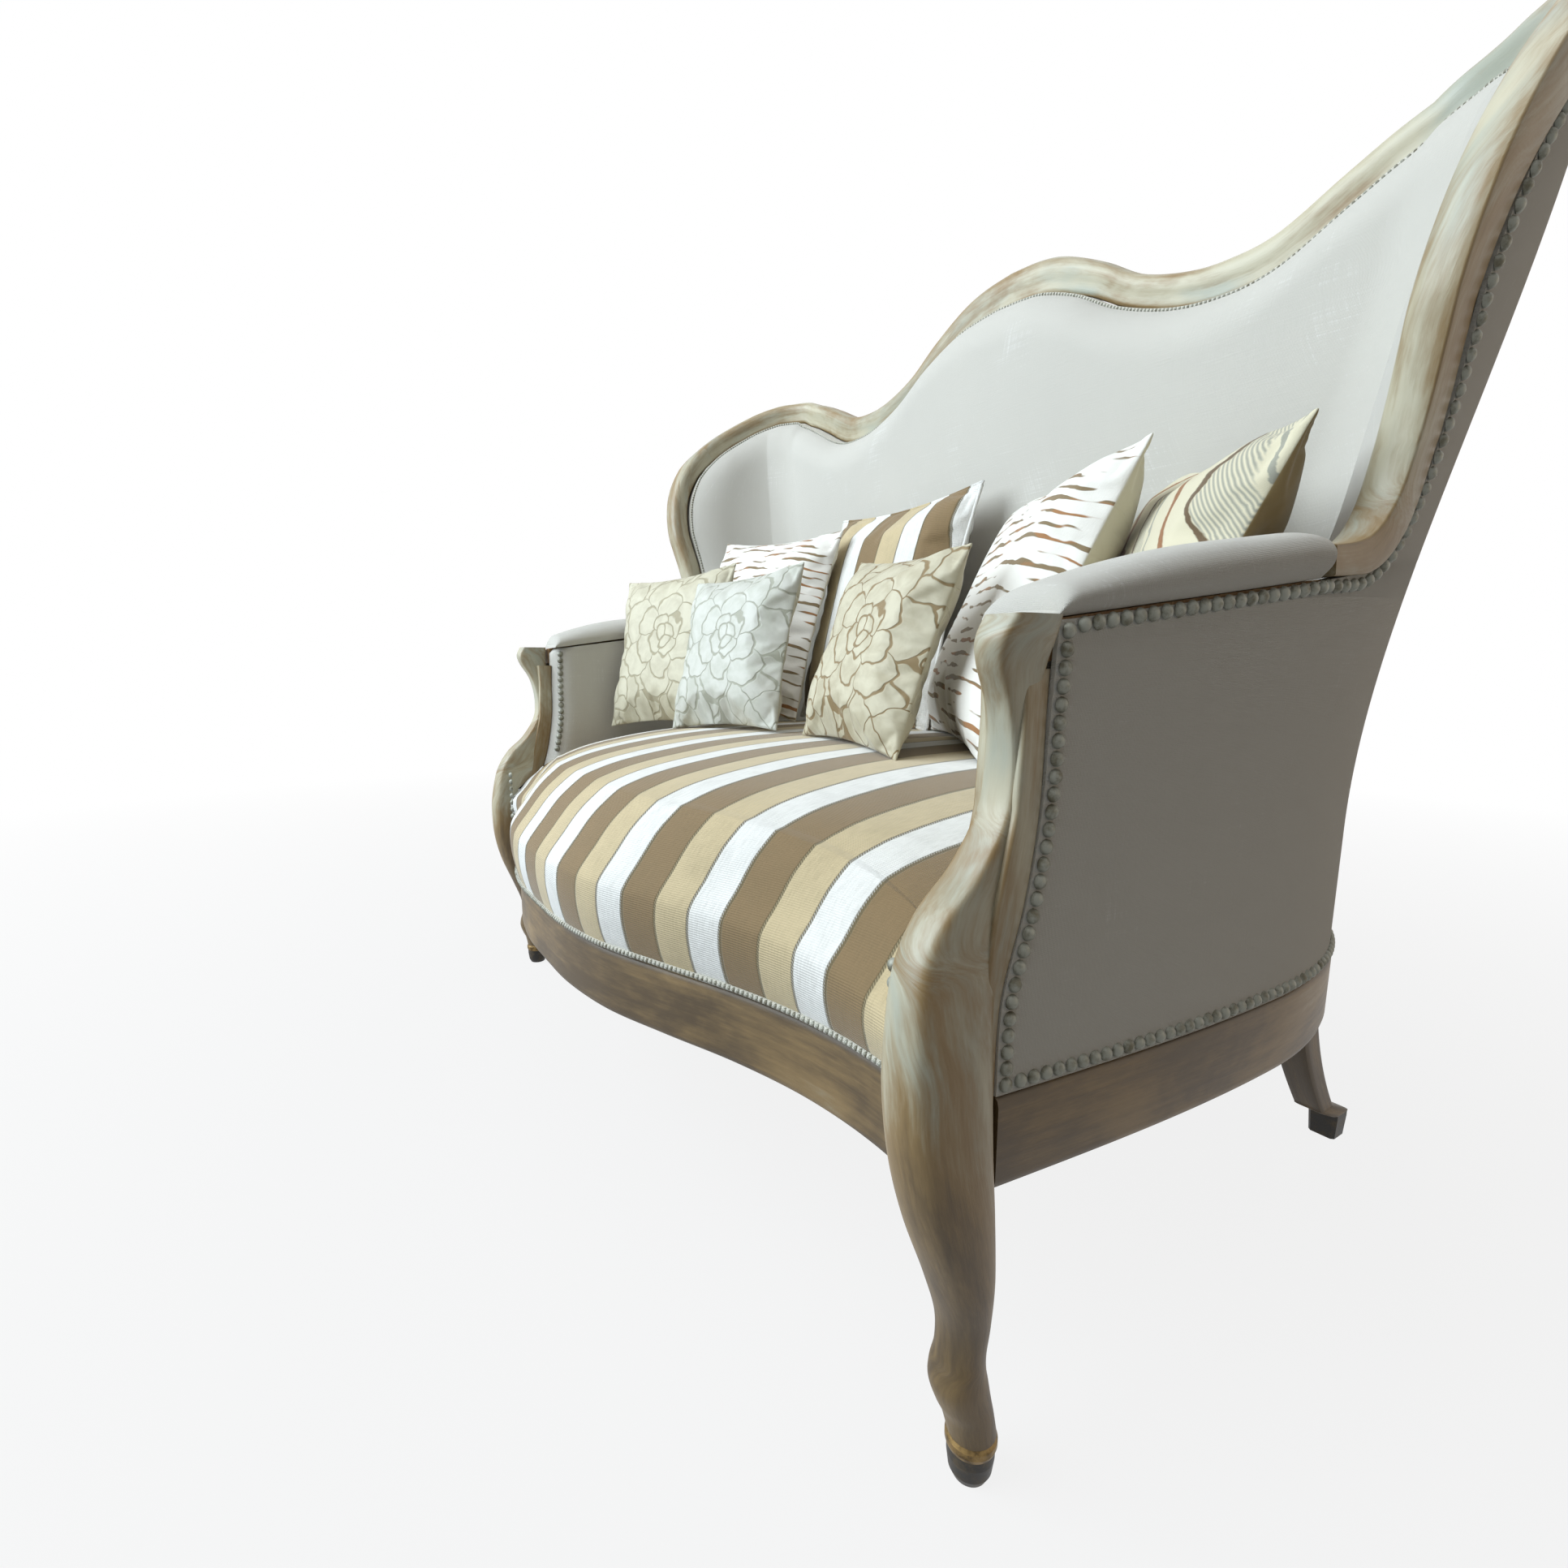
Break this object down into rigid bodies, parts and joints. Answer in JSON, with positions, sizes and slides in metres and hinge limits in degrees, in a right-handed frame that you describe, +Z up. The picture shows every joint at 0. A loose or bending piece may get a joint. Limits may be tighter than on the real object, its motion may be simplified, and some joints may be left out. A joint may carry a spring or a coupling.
{
  "type": "cabriole sofa",
  "caption": "Upholstered sofa with a shaped show-wood back wrapping into the arms, cabriole front legs, a striped serpentine seat and loose pillows.",
  "frame": {"origin": "floor point under the middle of the sofa's width and depth", "axes": "+Z up, -Y is the front where a person sits down, +X to the sofa's right end seen from the front"},
  "size_m": [1.576, 0.9466, 1.325],
  "materials": {
    "painted_wood": "distressed cream and grey-green paint over brown wood, satin",
    "bare_wood": "plain, unfinished",
    "toe_cap": "near black, semi-gloss",
    "toe_ring": "dull, aged",
    "white_fabric": "plain off-white, matte",
    "striped_fabric": "white, beige and brown chenille stripes",
    "tiger_fabric": "white with broken brown dashes, cream back",
    "silver_floral_fabric": "silver and cream flowers",
    "brown_floral_fabric": "cream and beige flowers on brown",
    "leaf_fabric": "large cream and brown leaves",
    "jute": "woven jute",
    "foam": "open-cell seat foam",
    "dust_fabric": "thin black cloth",
    "nail_metal": "pewter nail heads",
    "gimp_fabric": "narrow beaded gimp"
  },
  "bodies": {
    "root": {"left_front_post": "painted_wood", "right_front_post": "painted_wood", "left_front_ring": "toe_ring", "right_front_ring": "toe_ring", "left_front_cap": "toe_cap", "right_front_cap": "toe_cap", "left_rear_leg": "painted_wood", "right_rear_leg": "painted_wood", "left_rear_cap": "toe_cap", "right_rear_cap": "toe_cap", "front_apron": "painted_wood", "left_side_rail": "painted_wood", "right_side_rail": "painted_wood", "back_rail": "painted_wood", "left_front_block": "bare_wood", "right_front_block": "bare_wood", "left_rear_block": "bare_wood", "right_rear_block": "bare_wood", "apron_dowels": "bare_wood", "side_rail_dowels": "bare_wood", "rear_leg_dowels": "bare_wood", "crest_rail": "painted_wood", "left_stile": "painted_wood", "right_stile": "painted_wood", "left_arm_rail": "bare_wood", "right_arm_rail": "bare_wood", "left_arm_stump": "bare_wood", "right_arm_stump": "bare_wood", "left_wing_upright": "bare_wood", "right_wing_upright": "bare_wood", "left_back_upright": "bare_wood", "centre_back_upright": "bare_wood", "right_back_upright": "bare_wood", "back_hessian": "jute", "seat_webbing": "jute", "seat_hessian": "jute", "seat_foam": "foam", "striped_seat": "striped_fabric", "inner_back": "white_fabric", "left_inner_side": "white_fabric", "right_inner_side": "white_fabric", "left_arm_pad": "white_fabric", "right_arm_pad": "white_fabric", "outer_back": "white_fabric", "left_outer_side": "white_fabric", "right_outer_side": "white_fabric", "dust_cover": "dust_fabric", "floral_pillow_beige": "brown_floral_fabric", "tiger_pillow_left": "tiger_fabric", "floral_pillow_silver": "silver_floral_fabric", "striped_pillow": "striped_fabric", "floral_pillow_brown": "brown_floral_fabric", "tiger_pillow_right": "tiger_fabric", "leaf_pillow": "leaf_fabric"}
  },
  "joints": []
}
